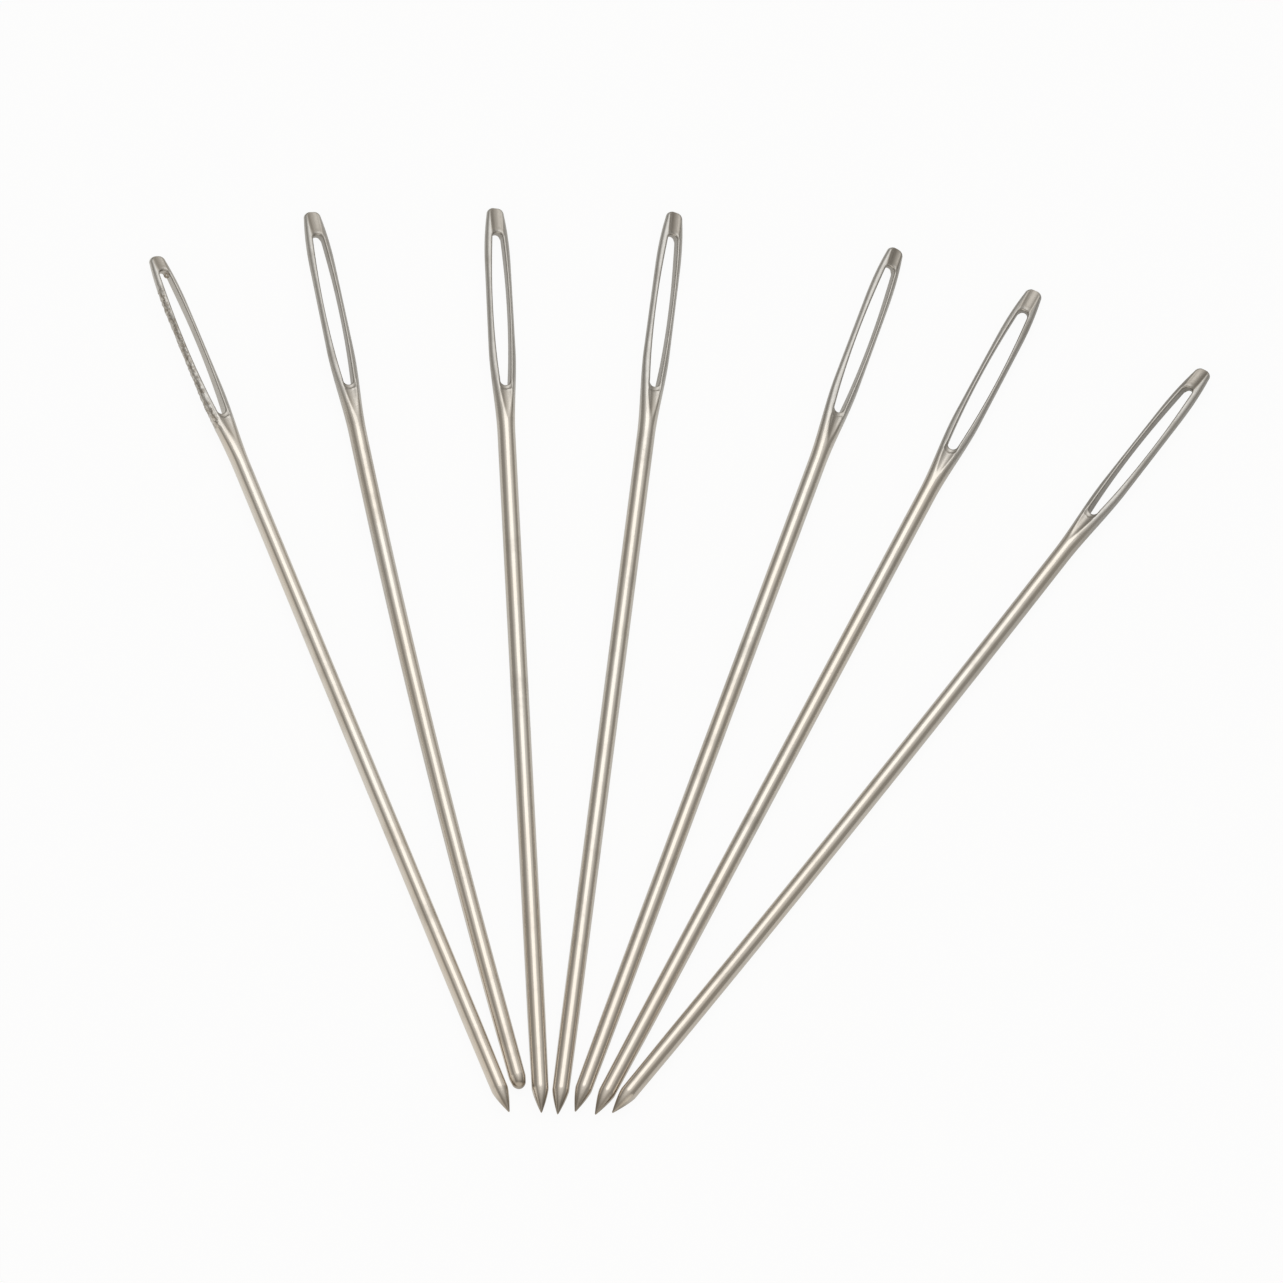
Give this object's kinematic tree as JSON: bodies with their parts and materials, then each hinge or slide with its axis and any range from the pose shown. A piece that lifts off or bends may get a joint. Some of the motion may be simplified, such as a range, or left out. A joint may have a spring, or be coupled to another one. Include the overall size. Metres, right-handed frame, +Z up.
{
  "type": "set of yarn needles",
  "caption": "Long steel darning needles for yarn, laid out in a fan: each has a round shank, a sharp short point and a flat head with a long eye.",
  "frame": {"origin": "under the middle of the fan's bounding box, on the surface that the needles lie on", "axes": "+Z up off the surface, +Y from the points to the heads, +X to the right as the picture shows the fan"},
  "size_m": [0.0722, 0.0698, 0.0013],
  "materials": {
    "plated_steel": "satin"
  },
  "bodies": {
    "needle_1": {"needle_1": "plated_steel"},
    "needle_2": {"needle_2": "plated_steel"},
    "needle_3": {"needle_3": "plated_steel"},
    "needle_4": {"needle_4": "plated_steel"},
    "needle_5": {"needle_5": "plated_steel"},
    "needle_6": {"needle_6": "plated_steel"},
    "needle_7": {"needle_7": "plated_steel"}
  },
  "joints": [
    {"name": "needle_1_lift", "type": "slide", "parent": "needle_4", "child": "needle_1", "axis": [0, 0, 1], "range_m": [0, 0.03]},
    {"name": "needle_2_lift", "type": "slide", "parent": "needle_4", "child": "needle_2", "axis": [0, 0, 1], "range_m": [0, 0.03]},
    {"name": "needle_3_lift", "type": "slide", "parent": "needle_4", "child": "needle_3", "axis": [0, 0, 1], "range_m": [0, 0.03]},
    {"name": "needle_5_lift", "type": "slide", "parent": "needle_4", "child": "needle_5", "axis": [0, 0, 1], "range_m": [0, 0.03]},
    {"name": "needle_6_lift", "type": "slide", "parent": "needle_4", "child": "needle_6", "axis": [0, 0, 1], "range_m": [0, 0.03]},
    {"name": "needle_7_lift", "type": "slide", "parent": "needle_4", "child": "needle_7", "axis": [0, 0, 1], "range_m": [0, 0.03]}
  ]
}
